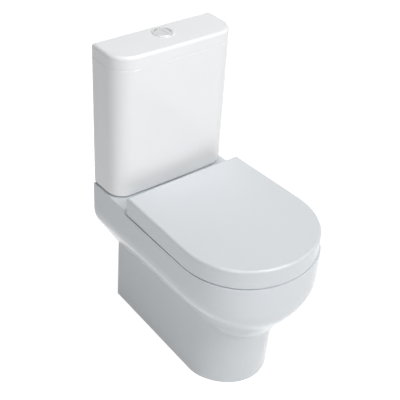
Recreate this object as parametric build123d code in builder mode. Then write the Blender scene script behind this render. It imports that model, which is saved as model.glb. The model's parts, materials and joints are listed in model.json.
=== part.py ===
from build123d import *
import os
from math import cos, radians, sin, sqrt, tan

os.makedirs("parts", exist_ok=True)

# Close-coupled toilet: pan, seat, lid and cistern with their fittings, in millimetres.
# X runs across with its positive side on the right of a person facing the pan from the front,
# +Y points to the wall, +Z is up, and the origin is on the floor, midway between front and wall.

# Overall size
overall_depth = 569.0
overall_height = 806.0

# Plan of the pan and the lid
half_width = 182.3
half_width_at_wall = 176.5
side_reach = 383.0
rim_reach = 569.0
rim_roundness = 2.28
waist_roundness = 2.35
lid_roundness = 2.13
pedestal_roundness = 2.0
foot_roundness = 1.93

# Heights of the pan
rim_height = 400.0
shelf_height = 414.0
shelf_reach = 143.0

# Tucked underside of the bowl
side_tuck_start = 338.0
side_tuck_angle = 31.0
front_tuck_start = 316.0
front_tuck_angle = 34.0
tuck_radius = 95.0
side_reach_tuck = 0.27
form_bottom = 172.0

# Pedestal
pedestal_top = 187.0
pedestal_half_at_wall_top = 100.5
pedestal_half_top = 98.6
pedestal_side_reach_top = 346.0
pedestal_reach_top = 495.0
pedestal_half_at_wall = 104.5
pedestal_half = 115.5
pedestal_side_reach = 354.0
pedestal_reach = 472.5
pedestal_rise = 40.0

# China walls
china_wall = 12.0
basin_wall = 10.0
rim_slab = 14.0
shelf_slab = 12.0

# Basin
basin_centre_reach = 372.0
basin_half_width = 122.0
basin_half_length = 156.0
rim_lip = 12.0
rim_overhang = 13.0
sump_reach = 330.0
sump_half_width = 32.0
sump_half_length = 38.0

# Trap and outlet
trap_bore_radius = 32.0
trap_wall = 8.0
trap_bend = 42.0
trap_floor = 120.0
trap_turn_reach = 254.0
trap_crest_reach = 188.0
trap_crest_height = 290.0
trap_fall_reach = 130.0
outlet_height = 180.0
outlet_radius = 51.0
outlet_bore = 43.0
outlet_length = 50.0
outlet_setback = 45.0
outlet_shoulder = 12.0

# Flush inlet of the pan
inlet_reach = 56.0
cup_radius = 43.5
cup_wall = 7.5
cup_depth = 22.0
cup_floor = 12.0
channel_radius = 22.0
channel_wall = 8.0
channel_height = 352.0
channel_bend = 32.0
tail_gap = 2.0

# Floor fixing lugs
lug_half_spacing = 74.0
lug_inset = 18.0
lug_outset = 26.0
lug_reach = 47.0
lug_length = 44.0
lug_thickness = 14.0
floor_hole_radius = 4.5
sleeve_wall = 1.0
sleeve_head_radius = 9.0
sleeve_head = 2.5

# Cistern
cistern_half_width = 175.0
cistern_depth_bottom = 108.0
cistern_depth_top = 117.0
cistern_bow = 4.0
cistern_corner_bottom = 44.0
cistern_corner_top = 54.0
cistern_back_corner = 5.0
cistern_wall = 9.0
cistern_floor = 10.0
cistern_foot_round = 8.0
coupling_gap = 2.0
wall_hole_radius = 4.5
wall_hole_half_spacing = 110.0
wall_hole_height = 730.0

# Cistern lid
cover_height = 35.0
cover_wall = 14.0
cover_top = 10.0
cover_edge_round = 8.0
cover_lip_depth = 8.0
cover_lip_gap = 2.0
cistern_seam = 0.8

# Seat and lid
lid_gap = 2.5
lid_height = 50.5
lid_reach_back = 149.0
lid_half_at_hinge = 175.5
lid_setback = 1.5
lid_skirt = 6.0
lid_top = 8.0
lid_edge_round = 6.0
seat_gap = 3.0
seat_lift = 7.0
seat_thickness = 22.0
seat_back_reach = 172.0
seat_hole_half_width = 105.0
seat_hole_half_length = 133.0
seat_hole_centre_reach = 370.0
seat_outer_round = 6.0
seat_inner_round = 8.0
rest_gap = 0.3

# Seat hinge
hinge_reach = 158.0
hinge_height = 434.0
hinge_half_spacing = 77.0
post_width = 14.0
post_radius = 8.0
post_base_radius = 14.5
post_base_height = 5.0
knuckle_radius = 9.0
knuckle_width = 15.0
knuckle_gap = 0.8
damper_radius = 7.5
bracket_half_depth = 9.0
bracket_depth = 12.0
seat_bracket_reach = 185.0
pin_radius = 4.0
pin_fit = 0.05
stud_radius = 4.0
stud_hole_radius = 6.0
stud_length = 58.0
stud_engagement = 11.0
cone_washer_radius = 13.0
cone_washer_height = 8.0
hinge_nut_radius = 11.0
hinge_nut_height = 9.0
buffer_radius = 8.0
seat_buffer_places = ((146.0, 290.0), (95.0, 520.0))
lid_buffer_radius = 6.0
lid_buffer_places = ((140.0, 300.0), (92.0, 500.0))

# Coupling bolts
bolt_half_spacing = 85.0
bolt_radius = 4.0
bolt_hole_radius = 5.5
bolt_head_radius = 7.5
bolt_head_height = 5.5
bolt_length = 50.0
seal_washer_radius = 13.0
seal_washer_height = 3.0
plate_washer_radius = 12.0
plate_washer_height = 1.5
wing_nut_radius = 8.0
wing_nut_height = 10.0
wing_span = 19.0
wing_thickness = 3.0
thread_gap = 0.1

# Flush valve
tail_radius = 29.5
tail_wall = 4.5
tail_length = 41.0
tank_hole_radius = 31.0
valve_washer_radius = 36.0
valve_washer_height = 3.0
valve_flange_radius = 37.0
valve_flange_height = 4.0
back_nut_radius = 37.5
back_nut_height = 11.0
gasket_wall = 5.0
gasket_gap = 0.5
valve_wall = 2.5
valve_basket_height = 40.0
valve_lip_height = 4.0
valve_lip_wall = 3.0
valve_window_width = 30.0
valve_window_sill = 8.0
column_width = 9.0
column_head = 7.0
overflow_radius = 9.0
overflow_wall = 2.0
overflow_top = 704.0
guide_gap = 0.4
seal_radius = 28.5
seal_height = 3.0
seal_gap = 0.2
seal_plate_radius = 26.0
seal_plate_height = 4.0
half_sleeve_wall = 1.6
half_float_radius = 21.0
half_float_height = 44.0
half_float_wall = 1.6

# Buttons and rockers
button_reach = 42.0
button_radius = 20.0
button_gap = 0.3
button_split = 5.0
button_split_gap = 0.3
button_height = 9.0
button_sink = 1.0
button_round = 1.0
bezel_radius = 26.5
bezel_height = 3.0
bezel_round = 1.2
bezel_wall = 2.2
bezel_depth = 40.0
bezel_floor = 3.0
button_hole_gap = 0.5
ring_nut_radius = 27.5
ring_nut_height = 9.0
rod_radius = 2.5
rod_socket = 5.0
rod_offset = 14.0
rod_hole_gap = 0.5
spring_wire = 0.6
spring_radius = 4.4
spring_turns = 6
rocker_reach = 49.0
rocker_half_depth = 11.0
rocker_thickness = 4.0
rocker_tip = 12.5
rocker_pivot = 29.0
rocker_outer_arm = 34.0
rocker_boss_radius = 3.2
rocker_press_gap = 0.5
rocker_lift_gap = 1.5
full_rocker_height = 650.0
half_rocker_height = 620.0
rocker_pin_radius = 2.0
rocker_cheek = 3.0
rocker_cheek_gap = 0.6
arm_thickness = 5.0
arm_half_depth = 3.5
arm_end = 62.0

# Fill valve
fill_offset = 127.0
fill_thread_radius = 10.4
fill_tail_length = 53.0
fill_hole_radius = 11.5
fill_bore_radius = 5.0
fill_shank_radius = 9.0
fill_washer_radius = 17.0
fill_washer_height = 3.0
fill_flange_height = 4.0
fill_stop_radius = 12.0
fill_stop_height = 8.0
fill_head_radius = 16.0
fill_head_bottom = 640.0
fill_head_height = 20.0
fill_cap_height = 10.0
lock_nut_radius = 15.5
lock_nut_height = 10.0
deck_hole_radius = 20.0
float_radius = 22.0
float_gap = 0.5
float_wall = 1.6
float_height = 60.0
float_rest = 560.0
link_radius = 2.0
link_offset = 35.0
link_top = 696.0
link_ear_half_depth = 5.0
link_ear_height = 4.0
link_collar_radius = 3.5
link_collar_height = 4.0
link_collar_gap = 2.4
lever_height = 676.0
lever_pivot_offset = 10.0
lever_thickness = 4.0
lever_half_depth = 5.0
lever_tail = 6.0
lever_end = 38.0
lever_slot_start = 22.0
lever_slot_end = 32.0
lever_boss_radius = 4.5
lever_pin_radius = 2.0
lever_ear = 3.0
lever_ear_gap = 0.6
lever_ear_half_width = 4.5

wall_y = overall_depth / 2
tank_bottom = shelf_height + coupling_gap
tank_top = overall_height - cover_height
tank_floor = tank_bottom + cistern_floor
bolt_seat = tank_floor + seal_washer_height
deck_under = shelf_height - shelf_slab
valve_flange_bottom = tank_floor + valve_washer_height
valve_flange_top = valve_flange_bottom + valve_flange_height
valve_lip_top = valve_flange_top + valve_lip_height
valve_guide_bottom = valve_flange_top + valve_basket_height
valve_guide_top = valve_guide_bottom + valve_wall
button_top = overall_height + bezel_height - button_sink
button_bottom = button_top - button_height
sleeve_outer = button_radius + button_gap + bezel_wall
guide_plate = overall_height - bezel_depth + bezel_floor
seat_bottom = rim_height + seat_lift
seat_top = seat_bottom + seat_thickness
lid_bottom = rim_height + lid_gap
lid_top_level = lid_bottom + lid_height
lid_under = lid_top_level - lid_top
fill_flange_bottom = tank_floor + fill_washer_height
fill_flange_top = fill_flange_bottom + fill_flange_height
fill_cap_bottom = fill_head_bottom + fill_head_height
fill_cap_top = fill_cap_bottom + fill_cap_height


def out(reach):
    """The y of a point that lies this far out from the wall."""
    return wall_y - reach


def tuck(level, start, angle):
    """How far the bowl's side has drawn in at a level: an arc, then a straight slope."""
    turn = radians(angle)
    arc_end = start - tuck_radius * sin(turn)
    if level >= start:
        return 0.0
    if level > arc_end:
        return tuck_radius - sqrt(tuck_radius**2 - (start - level) ** 2)
    return tuck_radius * (1 - cos(turn)) + (arc_end - level) * tan(turn)


def arc_joint(start, start_way, end, end_way):
    """Where two arcs meet that join two points with given directions."""
    chord = end - start
    ways = start_way + end_way
    spread = 2 * (1 - start_way.dot(end_way))
    along = chord.dot(ways)
    reach = (sqrt(along**2 + spread * chord.dot(chord)) - along) / spread
    return (start + end + (start_way - end_way) * reach) / 2


def d_outline(half_back, half_side, back_y, side_y, tip_y, roundness):
    """A D-shaped plan: a straight back, nearly straight sides and a round front of arcs."""
    depth = tip_y - side_y
    share = 0.5 ** (1 / roundness)
    lean = Vector(half_side - half_back, side_y - back_y).normalized()
    corner_way = Vector(-half_side, depth).normalized()
    stations = [
        (Vector(half_side, side_y), lean),
        (Vector(half_side * share, side_y + depth * share), corner_way),
        (Vector(0, tip_y), Vector(-1, 0)),
        (Vector(-half_side * share, side_y + depth * share), Vector(corner_way.X, -corner_way.Y)),
        (Vector(-half_side, side_y), Vector(lean.X, -lean.Y)),
    ]
    with BuildSketch() as sketch:
        with BuildLine():
            Line((-half_back, back_y), (half_back, back_y))
            Line((half_back, back_y), stations[0][0])
            for (start, start_way), (end, end_way) in zip(stations, stations[1:]):
                joint = arc_joint(start, start_way, end, end_way)
                TangentArc(start, joint, tangent=start_way)
                TangentArc(end, joint, tangent=-end_way)
            Line(stations[-1][0], (-half_back, back_y))
        make_face()
    return sketch.sketch


def bowl_section(level, inset, back_reach):
    """Plan of the bowl at a level: it narrows to the pedestal's plan at the waist."""
    side = tuck(level, side_tuck_start, side_tuck_angle)
    front = tuck(level, front_tuck_start, front_tuck_angle)
    share = side / tuck(pedestal_top, side_tuck_start, side_tuck_angle)
    slope = (half_width - half_width_at_wall) / side_reach
    half_back = half_width_at_wall + slope * back_reach
    return d_outline(
        half_back - share * (half_width_at_wall - pedestal_half_at_wall_top) - inset,
        half_width - share * (half_width - pedestal_half_top) - inset,
        out(back_reach),
        out(side_reach - side_reach_tuck * side),
        out(rim_reach - front - inset),
        rim_roundness + share * (waist_roundness - rim_roundness),
    )


def bowl_form(inset, top, back_reach):
    """The bowl's body from under its belly to a level, with its wall taken off."""
    levels = [form_bottom, 205.0, 240.0, 270.0, 290.0, 305.0, 318.0, side_tuck_start]
    with BuildPart() as form:
        for level in levels:
            with BuildSketch(Plane.XY.offset(level)):
                add(bowl_section(level, inset, back_reach))
        loft()
        with BuildSketch(Plane.XY.offset(side_tuck_start)):
            add(bowl_section(side_tuck_start, inset, back_reach))
        extrude(amount=top - side_tuck_start)
    return form.part


def pedestal_form(inset, bottom, back_reach):
    """The pedestal, flared at the floor and leaning forward to the bowl."""
    foot = d_outline(
        pedestal_half_at_wall - inset,
        pedestal_half - inset,
        out(back_reach),
        out(pedestal_side_reach),
        out(pedestal_reach - inset),
        foot_roundness,
    )
    waist = d_outline(
        pedestal_half_at_wall_top - inset,
        pedestal_half_top - inset,
        out(back_reach),
        out(pedestal_side_reach_top),
        out(pedestal_reach_top - inset),
        pedestal_roundness,
    )
    with BuildPart() as form:
        with BuildSketch(Plane.XY.offset(bottom)):
            add(foot)
        with BuildSketch(Plane.XY.offset(pedestal_top)):
            add(waist)
        loft(ruled=True)
        with BuildSketch(Plane.XY.offset(pedestal_top)):
            add(waist)
        extrude(amount=pedestal_rise)
    return form.part


def basin_form(grow):
    """The water space of the bowl below the rim lip, grown by a wall."""
    under_lip = rim_height - rim_lip
    lip_half = basin_half_width + rim_overhang
    lip_length = basin_half_length + rim_overhang
    stations = [
        (trap_floor - trap_bore_radius - grow, sump_half_width, sump_half_length, sump_reach),
        (trap_floor + 15.0, sump_half_width + 10.0, sump_half_length + 10.0, sump_reach),
        (215.0, 76.0, 86.0, 350.0),
        (290.0, 116.0, 142.0, 366.0),
        (350.0, lip_half - 1.0, lip_length - 2.0, basin_centre_reach),
        (under_lip, lip_half, lip_length, basin_centre_reach),
    ]
    with BuildPart() as form:
        for level, half, length, reach in stations:
            with BuildSketch(Plane.XY.offset(level)):
                with Locations((0, out(reach))):
                    Ellipse(half + grow, length + grow)
        loft()
    return form.part


def trap_tube(radius):
    """The trapway from the sump over the crest to the outlet."""
    end_reach = outlet_setback + outlet_length + outlet_shoulder / 2
    with BuildPart() as form:
        with BuildLine():
            FilletPolyline(
                (0, out(sump_reach), trap_floor),
                (0, out(trap_turn_reach), trap_floor),
                (0, out(trap_crest_reach), trap_crest_height),
                (0, out(trap_fall_reach), outlet_height),
                (0, out(end_reach), outlet_height),
                radius=trap_bend,
            )
        with BuildSketch(Plane(origin=(0, out(sump_reach), trap_floor), z_dir=(0, 1, 0))):
            Circle(radius)
        sweep()
    return form.part


def channel_tube(radius):
    """The flush channel from the inlet cup to the back of the basin."""
    start = shelf_height - cup_depth - cup_floor / 2
    end_reach = basin_centre_reach - basin_half_length
    with BuildPart() as form:
        with BuildLine():
            FilletPolyline(
                (0, out(inlet_reach), start),
                (0, out(inlet_reach), channel_height),
                (0, out(end_reach), channel_height),
                radius=channel_bend,
            )
        with BuildSketch(Plane(origin=(0, out(inlet_reach), start), z_dir=(0, 0, -1))):
            Circle(radius)
        sweep()
    return form.part


def upright(radius, bottom, top, x=0.0, reach=inlet_reach, bore=0.0):
    """A vertical cylinder or tube that stands at a reach from the wall."""
    with BuildPart() as form:
        with BuildSketch(Plane.XY.offset(bottom)):
            with Locations((x, out(reach))):
                Circle(radius)
                if bore:
                    Circle(bore, mode=Mode.SUBTRACT)
        extrude(amount=top - bottom)
    return form.part


def lengthwise(radius, start, end, reach, height, bore=0.0):
    """A cylinder or tube along X between two places."""
    with BuildPart() as form:
        with BuildSketch(Plane(origin=(start, out(reach), height), z_dir=(1, 0, 0))):
            Circle(radius)
            if bore:
                Circle(bore, mode=Mode.SUBTRACT)
        extrude(amount=end - start)
    return form.part


def crosswise(radius, x, height, start_y, end_y, bore=0.0):
    """A cylinder or tube along Y between two places."""
    with BuildPart() as form:
        with BuildSketch(Plane(origin=(x, start_y, height), z_dir=(0, 1, 0))):
            Circle(radius)
            if bore:
                Circle(bore, mode=Mode.SUBTRACT)
        extrude(amount=end_y - start_y)
    return form.part


def block(x0, x1, y0, y1, z0, z1):
    """A box between three pairs of planes."""
    with BuildPart() as form:
        with BuildSketch(Plane.XY.offset(z0)):
            with Locations(((x0 + x1) / 2, (y0 + y1) / 2)):
                Rectangle(abs(x1 - x0), abs(y1 - y0))
        extrude(amount=z1 - z0)
    return form.part


def sides(place):
    """The two mirrored x values of a place."""
    return (-place, place)


def tank_outline(depth, corner, inset):
    """Plan of the cistern: square at the wall, round corners and a slightly bowed front."""
    half = cistern_half_width - inset
    front = out(depth - cistern_bow - inset)
    with BuildSketch() as sketch:
        with BuildLine():
            Line((half, front), (half, out(inset)))
            Line((half, out(inset)), (-half, out(inset)))
            Line((-half, out(inset)), (-half, front))
            ThreePointArc((-half, front), (0, front - cistern_bow), (half, front))
        make_face()
        fillet(sketch.vertices().sort_by(Axis.Y)[:2], radius=corner - inset)
        fillet(sketch.vertices().group_by(Axis.Y)[-1], radius=cistern_back_corner)
    return sketch.sketch


def lid_outline(inset, back_reach):
    """Plan of the lid, which follows the pan but is slightly narrower at the hinge."""
    slope = (half_width - lid_half_at_hinge) / (side_reach - lid_reach_back)
    return d_outline(
        lid_half_at_hinge + slope * (back_reach - lid_reach_back) - inset,
        half_width - inset,
        out(back_reach),
        out(side_reach),
        out(rim_reach - lid_setback - inset),
        lid_roundness,
    )


# Hollow of the pan, open at the back and underneath
back_open = -20.0
with BuildPart() as hollow:
    add(bowl_form(china_wall, rim_height - rim_slab, back_open))
    add(pedestal_form(china_wall, -10.0, back_open))
    add(
        block(
            -half_width_at_wall + china_wall,
            half_width_at_wall - china_wall,
            out(back_open),
            out(shelf_reach - china_wall),
            side_tuck_start,
            shelf_height - shelf_slab,
        )
    )
    add(basin_form(basin_wall), mode=Mode.SUBTRACT)
    add(trap_tube(trap_bore_radius + trap_wall), mode=Mode.SUBTRACT)
    add(channel_tube(channel_radius + channel_wall), mode=Mode.SUBTRACT)
    add(
        upright(cup_radius + cup_wall, shelf_height - cup_depth - cup_floor, shelf_height),
        mode=Mode.SUBTRACT,
    )
    with BuildSketch(Plane.XZ.offset(-out(outlet_setback))):
        with Locations((0, outlet_height)):
            Circle(outlet_radius)
    extrude(amount=outlet_length + outlet_shoulder, mode=Mode.SUBTRACT)
    for x in sides(lug_half_spacing):
        add(
            block(
                x - (lug_inset if x > 0 else lug_outset),
                x + (lug_outset if x > 0 else lug_inset),
                out(lug_reach - lug_length / 2),
                out(lug_reach + lug_length / 2),
                0.0,
                lug_thickness,
            ),
            mode=Mode.SUBTRACT,
        )

# Pan
with BuildPart() as pan:
    add(bowl_form(0.0, shelf_height, 0.0))
    add(pedestal_form(0.0, 0.0, 0.0))
    add(
        block(
            -overall_depth,
            overall_depth,
            out(shelf_reach),
            out(overall_depth + china_wall),
            rim_height,
            shelf_height + china_wall,
        ),
        mode=Mode.SUBTRACT,
    )
    add(hollow.part, mode=Mode.SUBTRACT)
    add(basin_form(0.0), mode=Mode.SUBTRACT)
    with BuildSketch(Plane.XY.offset(rim_height - 2 * rim_lip)):
        with Locations((0, out(basin_centre_reach))):
            Ellipse(basin_half_width, basin_half_length)
    extrude(amount=3 * rim_lip, mode=Mode.SUBTRACT)
    add(trap_tube(trap_bore_radius), mode=Mode.SUBTRACT)
    with BuildSketch(Plane.XZ.offset(-out(outlet_setback))):
        with Locations((0, outlet_height)):
            Circle(outlet_bore)
    extrude(amount=outlet_length, mode=Mode.SUBTRACT)
    add(upright(cup_radius, shelf_height - cup_depth, shelf_height), mode=Mode.SUBTRACT)
    add(
        upright(tail_radius + tail_gap, shelf_height - cup_depth - cup_floor / 2, shelf_height),
        mode=Mode.SUBTRACT,
    )
    add(channel_tube(channel_radius), mode=Mode.SUBTRACT)
    for x in sides(bolt_half_spacing):
        add(
            upright(bolt_hole_radius, shelf_height - 2 * shelf_slab, shelf_height, x),
            mode=Mode.SUBTRACT,
        )
    for x in sides(hinge_half_spacing):
        add(
            upright(stud_hole_radius, rim_height - 2 * rim_slab, rim_height, x, hinge_reach),
            mode=Mode.SUBTRACT,
        )
    add(
        upright(deck_hole_radius, shelf_height - 2 * shelf_slab, shelf_height, fill_offset),
        mode=Mode.SUBTRACT,
    )
    for x in sides(lug_half_spacing):
        add(
            upright(floor_hole_radius, 0.0, lug_thickness, x, lug_reach),
            mode=Mode.SUBTRACT,
        )
pan.part.label = "pan"
export_step(pan.part, "parts/pan.step")

# Cistern
with BuildPart() as cistern:
    with BuildSketch(Plane.XY.offset(tank_bottom)):
        add(tank_outline(cistern_depth_bottom, cistern_corner_bottom, 0.0))
    with BuildSketch(Plane.XY.offset(tank_top)):
        add(tank_outline(cistern_depth_top, cistern_corner_top, 0.0))
    loft(ruled=True)
    fillet(cistern.edges().group_by(Axis.Z)[0], radius=cistern_foot_round)
    chamfer(cistern.edges().group_by(Axis.Z)[-1], length=cistern_seam)
    with BuildSketch(Plane.XY.offset(tank_floor)):
        add(tank_outline(cistern_depth_bottom, cistern_corner_bottom, cistern_wall))
    with BuildSketch(Plane.XY.offset(tank_top)):
        add(tank_outline(cistern_depth_top, cistern_corner_top, cistern_wall))
    loft(ruled=True, mode=Mode.SUBTRACT)
    add(upright(tank_hole_radius, tank_bottom, tank_floor), mode=Mode.SUBTRACT)
    add(upright(fill_hole_radius, tank_bottom, tank_floor, fill_offset), mode=Mode.SUBTRACT)
    for x in sides(bolt_half_spacing):
        add(upright(bolt_hole_radius, tank_bottom, tank_floor, x), mode=Mode.SUBTRACT)
    for x in sides(wall_hole_half_spacing):
        add(
            crosswise(wall_hole_radius, x, wall_hole_height, out(2 * cistern_wall), out(0)),
            mode=Mode.SUBTRACT,
        )
cistern.part.label = "cistern"
export_step(cistern.part, "parts/cistern.step")

# Cistern lid
with BuildPart() as cistern_lid:
    with BuildSketch(Plane.XY.offset(tank_top)):
        add(tank_outline(cistern_depth_top, cistern_corner_top, 0.0))
    extrude(amount=cover_height)
    fillet(cistern_lid.edges().group_by(Axis.Z)[-1], radius=cover_edge_round)
    chamfer(cistern_lid.edges().group_by(Axis.Z)[0], length=cistern_seam)
    with BuildSketch(Plane.XY.offset(tank_top - cover_lip_depth)):
        add(tank_outline(cistern_depth_top, cistern_corner_top, cistern_wall + cover_lip_gap))
    extrude(amount=cover_lip_depth)
    with BuildSketch(Plane.XY.offset(tank_top - cover_lip_depth)):
        add(tank_outline(cistern_depth_top, cistern_corner_top, cover_wall))
    extrude(amount=cover_lip_depth + cover_height - cover_top, mode=Mode.SUBTRACT)
    add(
        upright(
            sleeve_outer + button_hole_gap,
            overall_height - 2 * cover_top,
            overall_height,
            reach=button_reach,
        ),
        mode=Mode.SUBTRACT,
    )
cistern_lid.part.label = "cistern_lid"
export_step(cistern_lid.part, "parts/cistern_lid.step")

# Gasket between cistern and pan
gasket_bottom = shelf_height - cup_depth
gasket_outer = cup_radius - gasket_gap
nut_bottom = tank_bottom - back_nut_height
with BuildPart() as close_coupling_gasket:
    add(upright(gasket_outer, gasket_bottom, tank_bottom, bore=gasket_outer - gasket_wall))
    add(
        upright(
            gasket_outer,
            gasket_bottom,
            nut_bottom - gasket_gap,
            bore=tail_radius + gasket_gap,
        )
    )
close_coupling_gasket.part.label = "close_coupling_gasket"
export_step(close_coupling_gasket.part, "parts/close_coupling_gasket.step")

# Coupling bolts
with BuildPart() as coupling_bolts:
    for x in sides(bolt_half_spacing):
        add(upright(bolt_head_radius, bolt_seat, bolt_seat + bolt_head_height, x))
        add(upright(bolt_radius, bolt_seat - bolt_length, bolt_seat, x))
coupling_bolts.part.label = "coupling_bolts"
export_step(coupling_bolts.part, "parts/coupling_bolts.step")

# Rubber washers under the bolt heads
with BuildPart() as coupling_seal_washers:
    for x in sides(bolt_half_spacing):
        add(
            upright(
                seal_washer_radius,
                tank_floor,
                bolt_seat,
                x,
                bore=bolt_radius + thread_gap,
            )
        )
coupling_seal_washers.part.label = "coupling_seal_washers"
export_step(coupling_seal_washers.part, "parts/coupling_seal_washers.step")

# Plate washers under the deck
with BuildPart() as coupling_washers:
    for x in sides(bolt_half_spacing):
        add(
            upright(
                plate_washer_radius,
                deck_under - plate_washer_height,
                deck_under,
                x,
                bore=bolt_radius + thread_gap,
            )
        )
coupling_washers.part.label = "coupling_washers"
export_step(coupling_washers.part, "parts/coupling_washers.step")

# Wing nuts
wing_top = deck_under - plate_washer_height
with BuildPart() as coupling_wing_nuts:
    for x in sides(bolt_half_spacing):
        add(upright(wing_nut_radius, wing_top - wing_nut_height, wing_top, x))
        add(
            block(
                x - wing_span,
                x + wing_span,
                out(inlet_reach) - wing_thickness / 2,
                out(inlet_reach) + wing_thickness / 2,
                wing_top - wing_nut_height,
                wing_top - plate_washer_height,
            )
        )
        add(
            upright(
                bolt_radius + thread_gap,
                wing_top - wing_nut_height,
                wing_top,
                x,
            ),
            mode=Mode.SUBTRACT,
        )
coupling_wing_nuts.part.label = "coupling_wing_nuts"
export_step(coupling_wing_nuts.part, "parts/coupling_wing_nuts.step")

# Flush valve washer
with BuildPart() as flush_valve_washer:
    add(
        upright(
            valve_washer_radius,
            tank_floor,
            valve_flange_bottom,
            bore=tail_radius + thread_gap,
        )
    )
flush_valve_washer.part.label = "flush_valve_washer"
export_step(flush_valve_washer.part, "parts/flush_valve_washer.step")

# Flush valve back nut
with BuildPart() as flush_valve_back_nut:
    with BuildSketch(Plane.XY.offset(nut_bottom)):
        with Locations((0, out(inlet_reach))):
            RegularPolygon(back_nut_radius, side_count=8)
            Circle(tail_radius + thread_gap, mode=Mode.SUBTRACT)
    extrude(amount=back_nut_height)
flush_valve_back_nut.part.label = "flush_valve_back_nut"
export_step(flush_valve_back_nut.part, "parts/flush_valve_back_nut.step")

# Flush valve base with its basket
with BuildPart() as flush_valve_base:
    add(upright(tail_radius, valve_flange_bottom - tail_length, valve_flange_bottom))
    add(upright(valve_flange_radius, valve_flange_bottom, valve_flange_top))
    lip_outer = tail_radius - tail_wall + valve_lip_wall
    add(upright(lip_outer, valve_flange_top, valve_lip_top))
    add(
        upright(
            valve_flange_radius,
            valve_flange_top,
            valve_guide_bottom,
            bore=valve_flange_radius - valve_wall,
        )
    )
    add(
        upright(
            tail_radius - tail_wall,
            valve_flange_bottom - tail_length,
            valve_lip_top,
        ),
        mode=Mode.SUBTRACT,
    )
    window_bottom = valve_flange_top + valve_window_sill
    add(
        block(
            -valve_window_width / 2,
            valve_window_width / 2,
            out(inlet_reach - valve_flange_radius - valve_wall),
            out(inlet_reach + valve_flange_radius + valve_wall),
            window_bottom,
            valve_guide_bottom,
        ),
        mode=Mode.SUBTRACT,
    )
    add(
        block(
            -valve_flange_radius - valve_wall,
            valve_flange_radius + valve_wall,
            out(inlet_reach - valve_window_width / 2),
            out(inlet_reach + valve_window_width / 2),
            window_bottom,
            valve_guide_bottom,
        ),
        mode=Mode.SUBTRACT,
    )
flush_valve_base.part.label = "flush_valve_base"
export_step(flush_valve_base.part, "parts/flush_valve_base.step")

# Flush valve tower: guide plate and the columns that carry the rockers
cheek_inner = rocker_half_depth + rocker_cheek_gap
cheek_outer = cheek_inner + rocker_cheek
with BuildPart() as flush_valve_tower:
    add(
        upright(
            valve_flange_radius,
            valve_guide_bottom,
            valve_guide_top,
            bore=overflow_radius + guide_gap,
        )
    )
    for side, height in ((-1, full_rocker_height), (1, half_rocker_height)):
        for near, far in ((-cheek_outer, -cheek_inner), (cheek_inner, cheek_outer)):
            add(
                block(
                    side * rocker_pivot - column_width / 2,
                    side * rocker_pivot + column_width / 2,
                    out(rocker_reach) + near,
                    out(rocker_reach) + far,
                    valve_guide_bottom,
                    height + column_head,
                )
            )
            add(
                crosswise(
                    rocker_pin_radius,
                    side * rocker_pivot,
                    height,
                    out(rocker_reach) + near,
                    out(rocker_reach) + far,
                ),
                mode=Mode.SUBTRACT,
            )
flush_valve_tower.part.label = "flush_valve_tower"
export_step(flush_valve_tower.part, "parts/flush_valve_tower.step")

# Overflow tube with its lifting arm
seal_bottom = valve_lip_top + seal_gap
full_arm_bottom = full_rocker_height + rocker_thickness / 2 + rocker_lift_gap
with BuildPart() as overflow_tube:
    add(upright(overflow_radius, seal_bottom, overflow_top))
    add(
        upright(
            seal_plate_radius,
            seal_bottom + seal_height,
            seal_bottom + seal_height + seal_plate_height,
        )
    )
    add(
        block(
            -arm_end,
            0.0,
            out(inlet_reach) - arm_half_depth,
            out(inlet_reach) + arm_half_depth,
            full_arm_bottom,
            full_arm_bottom + arm_thickness,
        )
    )
    add(
        upright(overflow_radius - overflow_wall, seal_bottom, overflow_top),
        mode=Mode.SUBTRACT,
    )
overflow_tube.part.label = "overflow_tube"
export_step(overflow_tube.part, "parts/overflow_tube.step")

# Flush valve seal
with BuildPart() as flush_valve_seal:
    add(
        upright(
            seal_radius,
            seal_bottom,
            seal_bottom + seal_height,
            bore=overflow_radius,
        )
    )
flush_valve_seal.part.label = "flush_valve_seal"
export_step(flush_valve_seal.part, "parts/flush_valve_seal.step")

# Half flush float, a sleeve around the overflow tube with its own lifting arm
sleeve_bore = overflow_radius + guide_gap
half_sleeve_radius = sleeve_bore + half_sleeve_wall
half_arm_bottom = half_rocker_height + rocker_thickness / 2 + rocker_lift_gap
half_sleeve_top = half_arm_bottom + arm_thickness
with BuildPart() as half_flush_float:
    add(upright(half_sleeve_radius, valve_guide_top, half_sleeve_top))
    add(upright(half_float_radius, valve_guide_top, valve_guide_top + half_float_height))
    add(
        upright(
            half_float_radius - half_float_wall,
            valve_guide_top,
            valve_guide_top + half_float_height - half_float_wall,
            bore=half_sleeve_radius,
        ),
        mode=Mode.SUBTRACT,
    )
    add(
        block(
            0.0,
            arm_end,
            out(inlet_reach) - arm_half_depth,
            out(inlet_reach) + arm_half_depth,
            half_arm_bottom,
            half_sleeve_top,
        )
    )
    add(upright(sleeve_bore, valve_guide_top, half_sleeve_top), mode=Mode.SUBTRACT)
half_flush_float.part.label = "half_flush_float"
export_step(half_flush_float.part, "parts/half_flush_float.step")


def rocker(side, height):
    """A rocker plate with its pivot boss; the rod presses one end, the other end lifts an arm."""
    tip = side * rocker_tip
    end = side * (rocker_pivot + rocker_outer_arm)
    with BuildPart() as form:
        add(
            block(
                min(tip, end),
                max(tip, end),
                out(rocker_reach) - rocker_half_depth,
                out(rocker_reach) + rocker_half_depth,
                height - rocker_thickness / 2,
                height + rocker_thickness / 2,
            )
        )
        add(
            crosswise(
                rocker_boss_radius,
                side * rocker_pivot,
                height,
                out(rocker_reach) - rocker_half_depth,
                out(rocker_reach) + rocker_half_depth,
            )
        )
        add(
            crosswise(
                rocker_pin_radius + pin_fit,
                side * rocker_pivot,
                height,
                out(rocker_reach) - rocker_half_depth,
                out(rocker_reach) + rocker_half_depth,
            ),
            mode=Mode.SUBTRACT,
        )
    return form.part


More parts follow.
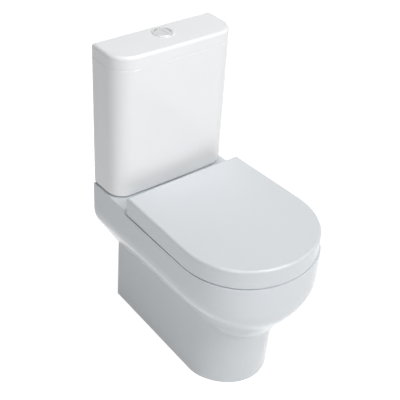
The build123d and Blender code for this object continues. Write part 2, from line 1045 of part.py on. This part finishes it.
# Rockers
with BuildPart() as full_rocker:
    add(rocker(-1, full_rocker_height))
full_rocker.part.label = "full_rocker"
export_step(full_rocker.part, "parts/full_rocker.step")

with BuildPart() as half_rocker:
    add(rocker(1, half_rocker_height))
half_rocker.part.label = "half_rocker"
export_step(half_rocker.part, "parts/half_rocker.step")

# Rocker pins
with BuildPart() as rocker_pins:
    for side, height in ((-1, full_rocker_height), (1, half_rocker_height)):
        add(
            crosswise(
                rocker_pin_radius,
                side * rocker_pivot,
                height,
                out(rocker_reach) - cheek_outer,
                out(rocker_reach) + cheek_outer,
            )
        )
rocker_pins.part.label = "rocker_pins"
export_step(rocker_pins.part, "parts/rocker_pins.step")

# Button bezel with its guide plate
with BuildPart() as button_bezel:
    add(
        upright(
            bezel_radius,
            overall_height,
            overall_height + bezel_height,
            reach=button_reach,
        )
    )
    fillet(button_bezel.edges().group_by(Axis.Z)[-1], radius=bezel_round)
    add(
        upright(
            sleeve_outer,
            overall_height - bezel_depth,
            overall_height,
            reach=button_reach,
        )
    )
    add(
        upright(
            button_radius + button_gap,
            guide_plate,
            overall_height + bezel_height,
            reach=button_reach,
        ),
        mode=Mode.SUBTRACT,
    )
    for x in sides(rod_offset):
        add(
            upright(
                rod_radius + rod_hole_gap,
                overall_height - bezel_depth,
                guide_plate,
                x,
                button_reach,
            ),
            mode=Mode.SUBTRACT,
        )
button_bezel.part.label = "button_bezel"
export_step(button_bezel.part, "parts/button_bezel.step")

# Ring nut that clamps the bezel
cover_under = overall_height - cover_top
with BuildPart() as button_nut:
    with BuildSketch(Plane.XY.offset(cover_under - ring_nut_height)):
        with Locations((0, out(button_reach))):
            RegularPolygon(ring_nut_radius, side_count=8)
            Circle(sleeve_outer + thread_gap, mode=Mode.SUBTRACT)
    extrude(amount=ring_nut_height)
button_nut.part.label = "button_nut"
export_step(button_nut.part, "parts/button_nut.step")


def button(side):
    """One part of the divided button, with the socket of its rod."""
    reach = 2 * button_radius
    cut = button_split - side * button_split_gap
    with BuildPart() as form:
        add(upright(button_radius, button_bottom, button_top, reach=button_reach))
        add(
            block(
                min(cut, cut + side * reach),
                max(cut, cut + side * reach),
                out(button_reach) - reach,
                out(button_reach) + reach,
                button_bottom,
                button_top,
            ),
            mode=Mode.SUBTRACT,
        )
        fillet(form.edges().group_by(Axis.Z)[-1], radius=button_round)
        add(
            upright(
                rod_radius,
                button_bottom,
                button_bottom + rod_socket,
                -side * rod_offset,
                button_reach,
            ),
            mode=Mode.SUBTRACT,
        )
    return form.part


# Flush buttons
with BuildPart() as full_flush_button:
    add(button(1))
full_flush_button.part.label = "full_flush_button"
export_step(full_flush_button.part, "parts/full_flush_button.step")

with BuildPart() as half_flush_button:
    add(button(-1))
half_flush_button.part.label = "half_flush_button"
export_step(half_flush_button.part, "parts/half_flush_button.step")


def push_rod(x, rocker_level):
    """A rod from the button's socket down to the rocker."""
    bottom = rocker_level + rocker_thickness / 2 + rocker_press_gap
    return upright(rod_radius, bottom, button_bottom + rod_socket, x, button_reach)


# Push rods
with BuildPart() as full_push_rod:
    add(push_rod(-rod_offset, full_rocker_height))
full_push_rod.part.label = "full_push_rod"
export_step(full_push_rod.part, "parts/full_push_rod.step")

with BuildPart() as half_push_rod:
    add(push_rod(rod_offset, half_rocker_height))
half_push_rod.part.label = "half_push_rod"
export_step(half_push_rod.part, "parts/half_push_rod.step")


def button_spring(x):
    """A helical spring between the guide plate and a button."""
    start = guide_plate + spring_wire
    length = button_bottom - spring_wire - start
    with BuildPart() as form:
        with BuildLine():
            Helix(
                pitch=length / spring_turns,
                height=length,
                radius=spring_radius,
                center=(x, out(button_reach), start),
            )
        with BuildSketch(
            Plane(origin=(x + spring_radius, out(button_reach), start), z_dir=(0, 1, 0))
        ):
            Circle(spring_wire)
        sweep(is_frenet=True)
    return form.part


# Button springs
with BuildPart() as full_button_spring:
    add(button_spring(-rod_offset))
full_button_spring.part.label = "full_button_spring"
export_step(full_button_spring.part, "parts/full_button_spring.step")

with BuildPart() as half_button_spring:
    add(button_spring(rod_offset))
half_button_spring.part.label = "half_button_spring"
export_step(half_button_spring.part, "parts/half_button_spring.step")

# Fill valve body
with BuildPart() as fill_valve_body:
    for radius, bottom, top in (
        (fill_thread_radius, fill_flange_bottom - fill_tail_length, fill_flange_bottom),
        (fill_washer_radius, fill_flange_bottom, fill_flange_top),
        (fill_shank_radius, fill_flange_top, fill_head_bottom),
        (fill_stop_radius, float_rest - fill_stop_height, float_rest),
        (fill_head_radius, fill_head_bottom, fill_cap_bottom),
    ):
        add(upright(radius, bottom, top, fill_offset))
    add(
        upright(
            fill_bore_radius,
            fill_flange_bottom - fill_tail_length,
            fill_cap_bottom - fill_flange_height,
            fill_offset,
        ),
        mode=Mode.SUBTRACT,
    )
fill_valve_body.part.label = "fill_valve_body"
export_step(fill_valve_body.part, "parts/fill_valve_body.step")

# Fill valve washer
with BuildPart() as fill_valve_washer:
    add(
        upright(
            fill_washer_radius,
            tank_floor,
            fill_flange_bottom,
            fill_offset,
            bore=fill_thread_radius + thread_gap,
        )
    )
fill_valve_washer.part.label = "fill_valve_washer"
export_step(fill_valve_washer.part, "parts/fill_valve_washer.step")

# Fill valve lock nut
with BuildPart() as fill_valve_lock_nut:
    with BuildSketch(Plane.XY.offset(tank_bottom - lock_nut_height)):
        with Locations((fill_offset, out(inlet_reach))):
            RegularPolygon(lock_nut_radius, side_count=6)
            Circle(fill_thread_radius + thread_gap, mode=Mode.SUBTRACT)
    extrude(amount=lock_nut_height)
fill_valve_lock_nut.part.label = "fill_valve_lock_nut"
export_step(fill_valve_lock_nut.part, "parts/fill_valve_lock_nut.step")

# Fill valve cap with the ears of the lever
pivot_x = fill_offset - lever_pivot_offset
ear_inner = lever_half_depth + lever_ear_gap
ear_outer = ear_inner + lever_ear
with BuildPart() as fill_valve_cap:
    add(upright(fill_head_radius, fill_cap_bottom, fill_cap_top, fill_offset))
    for near, far in ((-ear_outer, -ear_inner), (ear_inner, ear_outer)):
        add(
            block(
                pivot_x - lever_ear_half_width,
                pivot_x + lever_ear_half_width,
                out(inlet_reach) + near,
                out(inlet_reach) + far,
                fill_cap_bottom,
                lever_height + lever_ear_half_width,
            )
        )
        add(
            crosswise(
                lever_pin_radius,
                pivot_x,
                lever_height,
                out(inlet_reach) + near,
                out(inlet_reach) + far,
            ),
            mode=Mode.SUBTRACT,
        )
fill_valve_cap.part.label = "fill_valve_cap"
export_step(fill_valve_cap.part, "parts/fill_valve_cap.step")

# Fill valve float with its link
link_x = fill_offset - link_offset
float_top = float_rest + float_height
float_bore = fill_shank_radius + float_gap
with BuildPart() as fill_valve_float:
    add(upright(float_radius, float_rest, float_top, fill_offset))
    add(
        upright(
            float_radius - float_wall,
            float_rest,
            float_top - float_wall,
            fill_offset,
            bore=float_bore + float_wall,
        ),
        mode=Mode.SUBTRACT,
    )
    add(
        block(
            link_x,
            fill_offset - float_bore - float_wall,
            out(inlet_reach) - link_ear_half_depth,
            out(inlet_reach) + link_ear_half_depth,
            float_top - link_ear_height,
            float_top,
        )
    )
    add(upright(link_ear_half_depth, float_top - link_ear_height, float_top, link_x))
    add(upright(float_bore, float_rest, float_top, fill_offset), mode=Mode.SUBTRACT)
    add(upright(link_radius, float_top - link_ear_height, link_top, link_x))
    collar_top = lever_height - lever_thickness / 2 - link_collar_gap
    add(upright(link_collar_radius, collar_top - link_collar_height, collar_top, link_x))
    collar_bottom = lever_height + lever_thickness / 2 + link_collar_gap
    add(
        upright(
            link_collar_radius,
            collar_bottom,
            collar_bottom + link_collar_height,
            link_x,
        )
    )
fill_valve_float.part.label = "fill_valve_float"
export_step(fill_valve_float.part, "parts/fill_valve_float.step")

# Fill valve lever
with BuildPart() as fill_valve_lever:
    add(
        block(
            pivot_x - lever_end,
            pivot_x + lever_tail,
            out(inlet_reach) - lever_half_depth,
            out(inlet_reach) + lever_half_depth,
            lever_height - lever_thickness / 2,
            lever_height + lever_thickness / 2,
        )
    )
    add(
        crosswise(
            lever_boss_radius,
            pivot_x,
            lever_height,
            out(inlet_reach) - lever_half_depth,
            out(inlet_reach) + lever_half_depth,
        )
    )
    add(
        block(
            pivot_x - lever_slot_end,
            pivot_x - lever_slot_start,
            out(inlet_reach) - link_radius - float_gap,
            out(inlet_reach) + link_radius + float_gap,
            lever_height - lever_thickness,
            lever_height + lever_thickness,
        ),
        mode=Mode.SUBTRACT,
    )
    add(
        crosswise(
            lever_pin_radius + pin_fit,
            pivot_x,
            lever_height,
            out(inlet_reach) - lever_half_depth,
            out(inlet_reach) + lever_half_depth,
        ),
        mode=Mode.SUBTRACT,
    )
fill_valve_lever.part.label = "fill_valve_lever"
export_step(fill_valve_lever.part, "parts/fill_valve_lever.step")

# Lever pin
with BuildPart() as lever_pin:
    add(
        crosswise(
            lever_pin_radius,
            pivot_x,
            lever_height,
            out(inlet_reach) - ear_outer,
            out(inlet_reach) + ear_outer,
        )
    )
lever_pin.part.label = "lever_pin"
export_step(lever_pin.part, "parts/lever_pin.step")

# Seat
knuckle_start = post_width / 2 + knuckle_gap
seat_knuckle = (
    hinge_half_spacing + knuckle_start,
    hinge_half_spacing + knuckle_start + knuckle_width,
)
lid_knuckle = (
    hinge_half_spacing - knuckle_start - knuckle_width,
    hinge_half_spacing - knuckle_start,
)
with BuildPart() as seat:
    with BuildSketch(Plane.XY.offset(seat_bottom)):
        add(lid_outline(lid_skirt + seat_gap, seat_back_reach))
    extrude(amount=seat_thickness)
    fillet(seat.edges().group_by(Axis.Z)[-1], radius=seat_outer_round)
    with BuildSketch(Plane.XY.offset(seat_bottom)):
        with Locations((0, out(seat_hole_centre_reach))):
            Ellipse(seat_hole_half_width, seat_hole_half_length)
    extrude(amount=seat_thickness, mode=Mode.SUBTRACT)
    inner_edges = seat.edges().filter_by(GeomType.ELLIPSE)
    fillet(inner_edges.group_by(Axis.Z)[-1], radius=seat_inner_round)
    for side in (-1, 1):
        start, end = sorted(side * x for x in seat_knuckle)
        add(lengthwise(knuckle_radius, start, end, hinge_reach, hinge_height))
        add(
            block(
                start,
                end,
                out(seat_bracket_reach),
                out(hinge_reach),
                seat_top - bracket_depth,
                hinge_height,
            )
        )
        add(
            lengthwise(damper_radius, start, end, hinge_reach, hinge_height),
            mode=Mode.SUBTRACT,
        )
seat.part.label = "seat"
export_step(seat.part, "parts/seat.step")

# Seat buffers
with BuildPart() as seat_buffers:
    for x, reach in seat_buffer_places:
        for place in sides(x):
            add(upright(buffer_radius, rim_height + rest_gap, seat_bottom, place, reach))
seat_buffers.part.label = "seat_buffers"
export_step(seat_buffers.part, "parts/seat_buffers.step")

# Lid
with BuildPart() as lid:
    with BuildSketch(Plane.XY.offset(lid_bottom)):
        add(lid_outline(0.0, lid_reach_back))
    extrude(amount=lid_height)
    fillet(lid.edges().group_by(Axis.Z)[-1], radius=lid_edge_round)
    with BuildSketch(Plane.XY.offset(lid_bottom)):
        add(lid_outline(lid_skirt, lid_reach_back - lid_skirt))
    extrude(amount=lid_height - lid_top, mode=Mode.SUBTRACT)
    for side in (-1, 1):
        start, end = sorted(side * x for x in lid_knuckle)
        add(lengthwise(knuckle_radius, start, end, hinge_reach, hinge_height))
        add(
            block(
                start,
                end,
                out(hinge_reach + bracket_half_depth),
                out(hinge_reach - bracket_half_depth),
                hinge_height,
                lid_under + lid_top / 2,
            )
        )
        add(
            lengthwise(damper_radius, start, end, hinge_reach, hinge_height),
            mode=Mode.SUBTRACT,
        )
lid.part.label = "lid"
export_step(lid.part, "parts/lid.step")

# Lid buffers
with BuildPart() as lid_buffers:
    for x, reach in lid_buffer_places:
        for place in sides(x):
            add(upright(lid_buffer_radius, seat_top + rest_gap, lid_under, place, reach))
lid_buffers.part.label = "lid_buffers"
export_step(lid_buffers.part, "parts/lid_buffers.step")


def dampers(knuckle):
    """The soft-close bushes of one pair of knuckles."""
    with BuildPart() as form:
        for side in (-1, 1):
            start, end = sorted(side * x for x in knuckle)
            add(
                lengthwise(
                    damper_radius,
                    start,
                    end,
                    hinge_reach,
                    hinge_height,
                    bore=pin_radius + pin_fit,
                )
            )
    return form.part


# Soft-close bushes
with BuildPart() as seat_dampers:
    add(dampers(seat_knuckle))
seat_dampers.part.label = "seat_dampers"
export_step(seat_dampers.part, "parts/seat_dampers.step")

with BuildPart() as lid_dampers:
    add(dampers(lid_knuckle))
lid_dampers.part.label = "lid_dampers"
export_step(lid_dampers.part, "parts/lid_dampers.step")

# Hinge posts
with BuildPart() as hinge_posts:
    for x in sides(hinge_half_spacing):
        add(
            upright(
                post_base_radius,
                rim_height,
                rim_height + post_base_height,
                x,
                hinge_reach,
            )
        )
        add(
            block(
                x - post_width / 2,
                x + post_width / 2,
                out(hinge_reach + post_radius),
                out(hinge_reach - post_radius),
                rim_height,
                hinge_height,
            )
        )
        add(
            lengthwise(
                post_radius,
                x - post_width / 2,
                x + post_width / 2,
                hinge_reach,
                hinge_height,
            )
        )
        add(
            lengthwise(
                pin_radius,
                x - post_width / 2,
                x + post_width / 2,
                hinge_reach,
                hinge_height,
            ),
            mode=Mode.SUBTRACT,
        )
        add(
            upright(stud_radius, rim_height, rim_height + stud_engagement, x, hinge_reach),
            mode=Mode.SUBTRACT,
        )
hinge_posts.part.label = "hinge_posts"
export_step(hinge_posts.part, "parts/hinge_posts.step")

# Hinge pins
with BuildPart() as hinge_pins:
    for side in (-1, 1):
        start, end = sorted(side * x for x in (lid_knuckle[0], seat_knuckle[1]))
        add(lengthwise(pin_radius, start, end, hinge_reach, hinge_height))
hinge_pins.part.label = "hinge_pins"
export_step(hinge_pins.part, "parts/hinge_pins.step")

# Hinge studs
stud_top = rim_height + stud_engagement
with BuildPart() as hinge_studs:
    for x in sides(hinge_half_spacing):
        add(upright(stud_radius, stud_top - stud_length, stud_top, x, hinge_reach))
hinge_studs.part.label = "hinge_studs"
export_step(hinge_studs.part, "parts/hinge_studs.step")

# Rubber washers of the hinge studs
slab_under = rim_height - rim_slab
with BuildPart() as hinge_cone_washers:
    for x in sides(hinge_half_spacing):
        add(
            upright(
                cone_washer_radius,
                slab_under - cone_washer_height,
                slab_under,
                x,
                hinge_reach,
                stud_radius + thread_gap,
            )
        )
hinge_cone_washers.part.label = "hinge_cone_washers"
export_step(hinge_cone_washers.part, "parts/hinge_cone_washers.step")

# Hinge nuts
with BuildPart() as hinge_nuts:
    with BuildSketch(Plane.XY.offset(slab_under - cone_washer_height - hinge_nut_height)):
        for x in sides(hinge_half_spacing):
            with Locations((x, out(hinge_reach))):
                RegularPolygon(hinge_nut_radius, side_count=6)
                Circle(stud_radius + thread_gap, mode=Mode.SUBTRACT)
    extrude(amount=hinge_nut_height)
hinge_nuts.part.label = "hinge_nuts"
export_step(hinge_nuts.part, "parts/hinge_nuts.step")

# Floor fixing sleeves
with BuildPart() as floor_fixing_sleeves:
    for x in sides(lug_half_spacing):
        add(upright(floor_hole_radius, 0.0, lug_thickness, x, lug_reach))
        add(
            upright(
                sleeve_head_radius,
                lug_thickness,
                lug_thickness + sleeve_head,
                x,
                lug_reach,
            )
        )
        add(
            upright(
                floor_hole_radius - sleeve_wall,
                0.0,
                lug_thickness + sleeve_head,
                x,
                lug_reach,
            ),
            mode=Mode.SUBTRACT,
        )
floor_fixing_sleeves.part.label = "floor_fixing_sleeves"
export_step(floor_fixing_sleeves.part, "parts/floor_fixing_sleeves.step")
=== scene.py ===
import json
import math

import bpy
from mathutils import Matrix, Vector


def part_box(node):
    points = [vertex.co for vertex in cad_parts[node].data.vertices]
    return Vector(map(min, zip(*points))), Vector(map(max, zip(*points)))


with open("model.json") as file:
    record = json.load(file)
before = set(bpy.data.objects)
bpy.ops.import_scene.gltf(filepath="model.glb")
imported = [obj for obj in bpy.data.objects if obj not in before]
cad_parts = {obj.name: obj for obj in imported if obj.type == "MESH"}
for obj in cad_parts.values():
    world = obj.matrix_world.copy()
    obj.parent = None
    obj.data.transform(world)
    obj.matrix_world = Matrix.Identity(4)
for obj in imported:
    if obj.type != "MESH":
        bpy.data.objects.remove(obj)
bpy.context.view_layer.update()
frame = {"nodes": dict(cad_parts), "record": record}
wall_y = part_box("cistern")[1].y

# Camera, measured from the floor under the middle of the wall plane
CAMERA_PLACE = Vector((-1.15903, -1.59538, 1.69357))
CAMERA_TURN = -40.0962
CAMERA_RISE = 35.3251
CAMERA_ROLL = 3.5491
CAMERA_LENS = 78.667
SENSOR_WIDTH = 36.0

# The point the lamps look at
CENTRE = (0.0, 0.0, 0.35)

# Colours as linear red, green and blue
CHINA = (0.768, 0.803, 0.830)
# Paler copy of the china for the cistern and its lid: painted light that makes them read
# brighter than the pan
CISTERN_CHINA_PAINTED_LIGHT = (0.930, 0.936, 0.945)
SEAT_WHITE = (0.735, 0.766, 0.790)
FLOOR_REAL = (0.80, 0.80, 0.80)
FLOOR_SHADED = (0.60, 0.60, 0.60)
FLOOR_GLOW = 0.88
FLOOR_REACH = 12.0
GLAZE = {"Specular IOR Level": 0.32}


def node(tree, kind, place=(0, 0), **values):
    """A shader node with its sockets or settings filled in."""
    made = tree.nodes.new(kind)
    made.location = place
    for key, value in values.items():
        if key in made.inputs:
            made.inputs[key].default_value = value
        else:
            setattr(made, key, value)
    return made


def set_inputs(shader, values):
    for key, value in values.items():
        shader.inputs[key].default_value = value


def material(name, colour, roughness, metallic=0.0, coat=0.0, vary=0.02, rough_vary=0.03,
             scale=12.0, bump=0.0, bump_scale=60.0, stretch=(1, 1, 1), **more):
    """A surface with its own colour, gloss and fine unevenness."""
    made = bpy.data.materials.new(name)
    made.use_nodes = True
    tree = made.node_tree
    shader = tree.nodes["Principled BSDF"]
    set_inputs(shader, {"Metallic": metallic, "Coat Weight": coat})
    set_inputs(shader, more)
    coords = node(tree, "ShaderNodeTexCoord", (-1100, 0))
    mapping = node(tree, "ShaderNodeMapping", (-900, 0))
    mapping.inputs["Scale"].default_value = stretch
    tree.links.new(coords.outputs["Object"], mapping.inputs["Vector"])
    noise = node(tree, "ShaderNodeTexNoise", (-700, 0), Scale=scale, Detail=4.0, Roughness=0.5)
    tree.links.new(mapping.outputs["Vector"], noise.inputs["Vector"])
    ramp = node(tree, "ShaderNodeValToRGB", (-480, 120))
    low = [max(0.0, c * (1 - vary)) for c in colour]
    high = [min(1.0, c * (1 + vary)) for c in colour]
    ramp.color_ramp.elements[0].position = 0.3
    ramp.color_ramp.elements[1].position = 0.7
    ramp.color_ramp.elements[0].color = (*low, 1)
    ramp.color_ramp.elements[1].color = (*high, 1)
    tree.links.new(noise.outputs["Fac"], ramp.inputs["Fac"])
    tree.links.new(ramp.outputs["Color"], shader.inputs["Base Color"])
    gloss = node(tree, "ShaderNodeMapRange", (-480, -120))
    gloss.inputs["To Min"].default_value = max(0.02, roughness - rough_vary)
    gloss.inputs["To Max"].default_value = roughness + rough_vary
    tree.links.new(noise.outputs["Fac"], gloss.inputs["Value"])
    tree.links.new(gloss.outputs["Result"], shader.inputs["Roughness"])
    if bump:
        fine = node(tree, "ShaderNodeTexNoise", (-700, -320), Scale=bump_scale, Detail=3.0)
        tree.links.new(mapping.outputs["Vector"], fine.inputs["Vector"])
        bumps = node(tree, "ShaderNodeBump", (-260, -320), Strength=bump, Distance=0.001)
        tree.links.new(fine.outputs["Fac"], bumps.inputs["Height"])
        tree.links.new(bumps.outputs["Normal"], shader.inputs["Normal"])
    return made


china = material("glazed_china", CHINA, 0.20, coat=0.08, vary=0.008, rough_vary=0.02, scale=5.0,
                 bump=0.05, bump_scale=14.0, **GLAZE)
# Same glaze as the pan in a paler colour: painted light for the brighter cistern and lid
cistern_china_painted_light = material("cistern_china_painted_light", CISTERN_CHINA_PAINTED_LIGHT, 0.20, coat=0.4, vary=0.008,
                         rough_vary=0.02, scale=5.0, bump=0.05, bump_scale=14.0, **GLAZE)
seat_white = material("seat_white", SEAT_WHITE, 0.26, coat=0.3, vary=0.006, rough_vary=0.02,
                      scale=7.0, bump=0.03, bump_scale=20.0)
chrome = material("chrome_plate", (0.66, 0.665, 0.67), 0.30, metallic=1.0, vary=0.01,
                  rough_vary=0.03, scale=60.0)
steel = material("brushed_steel", (0.55, 0.56, 0.57), 0.34, metallic=1.0, vary=0.04,
                 rough_vary=0.06, scale=40.0, stretch=(1, 12, 12), bump=0.15, bump_scale=90.0)
bolt_steel = material("bolt_steel", (0.50, 0.51, 0.52), 0.38, metallic=1.0, vary=0.05,
                      rough_vary=0.08, scale=90.0, bump=0.1, bump_scale=200.0)
brass = material("dull_brass", (0.56, 0.40, 0.16), 0.36, metallic=1.0, vary=0.06,
                 rough_vary=0.08, scale=80.0, bump=0.1, bump_scale=200.0)
black_rubber = material("black_rubber", (0.028, 0.028, 0.030), 0.62, vary=0.10, rough_vary=0.08,
                        scale=120.0, bump=0.3, bump_scale=260.0)
pale_rubber = material("pale_rubber", (0.62, 0.62, 0.60), 0.55, vary=0.03, rough_vary=0.06,
                       scale=120.0, bump=0.2, bump_scale=260.0)
red_seal = material("red_seal", (0.36, 0.030, 0.022), 0.50, vary=0.06, rough_vary=0.06,
                    scale=120.0, bump=0.2, bump_scale=260.0)
white_plastic = material("white_plastic", (0.70, 0.70, 0.68), 0.42, vary=0.02, rough_vary=0.05,
                         scale=60.0, bump=0.12, bump_scale=300.0)
blue_plastic = material("blue_plastic", (0.045, 0.130, 0.36), 0.42, vary=0.05, rough_vary=0.05,
                        scale=60.0, bump=0.12, bump_scale=300.0)
grey_plastic = material("grey_plastic", (0.20, 0.21, 0.22), 0.45, vary=0.05, rough_vary=0.05,
                        scale=60.0, bump=0.12, bump_scale=300.0)

LOOKS = {
    "glazed_china": china,
    "seat_plastic": seat_white,
    "chrome_plate": chrome,
    "hinge_steel": steel,
    "steel_fixing": bolt_steel,
    "brass_fixing": brass,
    "black_rubber": black_rubber,
    "clear_rubber": pale_rubber,
    "red_seal": red_seal,
    "white_plastic": white_plastic,
    "blue_plastic": blue_plastic,
    "grey_plastic": grey_plastic,
}
# The cistern and its lid take the paler copy of the china, which is painted light
PAINTED_LIGHT_LOOKS = {"cistern": cistern_china_painted_light, "cistern_lid": cistern_china_painted_light}

slot_of = {part["node"]: part["material_slot"] for part in frame["record"]["subparts"]}
for name, obj in frame["nodes"].items():
    look = PAINTED_LIGHT_LOOKS.get(name, LOOKS[slot_of[name]])
    for slot in obj.material_slots:
        slot.material = look


def seen_rays(tree):
    """One for rays from the camera, also by a glossy or clear surface, and nought for light."""
    rays = node(tree, "ShaderNodeLightPath", (-600, 200))
    either = node(tree, "ShaderNodeMath", (-400, 200), operation="MAXIMUM")
    all_three = node(tree, "ShaderNodeMath", (-200, 200), operation="MAXIMUM")
    tree.links.new(rays.outputs["Is Camera Ray"], either.inputs[0])
    tree.links.new(rays.outputs["Is Glossy Ray"], either.inputs[1])
    tree.links.new(either.outputs[0], all_three.inputs[0])
    tree.links.new(rays.outputs["Is Transmission Ray"], all_three.inputs[1])
    return all_three.outputs[0]


# Floor, white where it is seen and plain grey-white for the light it gives back
floor_mesh = bpy.data.meshes.new("floor")
floor_mesh.from_pydata(
    [(x * FLOOR_REACH, y * FLOOR_REACH, 0) for x, y in ((-1, -1), (1, -1), (1, 1), (-1, 1))],
    [],
    [(0, 1, 2, 3)],
)
floor = bpy.data.objects.new("floor", floor_mesh)
floor.location.z = -0.0005
bpy.context.scene.collection.objects.link(floor)
floor_look = bpy.data.materials.new("floor_white")
floor_look.use_nodes = True
tree = floor_look.node_tree
tree.nodes.clear()
output = node(tree, "ShaderNodeOutputMaterial", (600, 0))
mix = node(tree, "ShaderNodeMixShader", (400, 0))
seen = node(tree, "ShaderNodeAddShader", (250, -100))
shaded = node(tree, "ShaderNodeBsdfDiffuse", (50, -60), Color=(*FLOOR_SHADED, 1))
white = node(tree, "ShaderNodeEmission", (50, -200), Color=(1, 1, 1, 1), Strength=FLOOR_GLOW)
tree.links.new(shaded.outputs[0], seen.inputs[0])
tree.links.new(white.outputs[0], seen.inputs[1])
real = node(tree, "ShaderNodeBsdfDiffuse", (100, 100), Color=(*FLOOR_REAL, 1))
tree.links.new(seen_rays(tree), mix.inputs["Fac"])
tree.links.new(real.outputs[0], mix.inputs[1])
tree.links.new(seen.outputs[0], mix.inputs[2])
tree.links.new(mix.outputs[0], output.inputs["Surface"])
floor_mesh.materials.append(floor_look)

# World: white where it is seen, studio grey for the light it gives
world = bpy.data.worlds.new("studio")
bpy.context.scene.world = world
world.use_nodes = True
tree = world.node_tree
tree.nodes.clear()
output = node(tree, "ShaderNodeOutputWorld", (600, 0))
mix = node(tree, "ShaderNodeMixShader", (400, 0))
glow = node(tree, "ShaderNodeBackground", (100, 100), Color=(0.96, 0.98, 1.0, 1), Strength=0.08)
white = node(tree, "ShaderNodeBackground", (100, -100), Color=(1, 1, 1, 1), Strength=1.0)
tree.links.new(seen_rays(tree), mix.inputs["Fac"])
tree.links.new(glow.outputs[0], mix.inputs[1])
tree.links.new(white.outputs[0], mix.inputs[2])
tree.links.new(mix.outputs[0], output.inputs["Surface"])


def lamp(name, place, energy, size):
    """A square area lamp aimed at the middle of the part."""
    data = bpy.data.lights.new(name, "AREA")
    data.energy = energy
    data.shape = "SQUARE"
    data.size = size
    made = bpy.data.objects.new(name, data)
    bpy.context.scene.collection.objects.link(made)
    made.location = Vector(place)
    aim = Vector(CENTRE) - Vector(place)
    made.rotation_mode = "QUATERNION"
    made.rotation_quaternion = aim.to_track_quat("-Z", "Y")
    return made


lamp("key", (0.9, -3.2, 3.0), 66.0, 1.8)
lamp("top", (0.3, -0.6, 3.2), 48.0, 2.4)
lamp("fill", (-2.8, -2.2, 0.9), 34.0, 2.0)

# Camera
turn = math.radians(CAMERA_TURN)
rise = math.radians(CAMERA_RISE)
roll = math.radians(CAMERA_ROLL)
back = Vector(
    (math.sin(turn) * math.cos(rise), -math.cos(turn) * math.cos(rise), math.sin(rise))
)
level_right = Vector((math.cos(turn), math.sin(turn), 0.0))
level_up = back.cross(level_right)
right = math.cos(roll) * level_right + math.sin(roll) * level_up
up = -math.sin(roll) * level_right + math.cos(roll) * level_up
camera_data = bpy.data.cameras.new("camera")
camera_data.lens = CAMERA_LENS
camera_data.sensor_width = SENSOR_WIDTH
camera = bpy.data.objects.new("camera", camera_data)
bpy.context.scene.collection.objects.link(camera)
turned = Matrix((right, up, back)).transposed().to_4x4()
camera.matrix_world = Matrix.Translation(CAMERA_PLACE + Vector((0, wall_y, 0))) @ turned
bpy.context.scene.camera = camera
bpy.context.scene.view_settings.view_transform = "Standard"
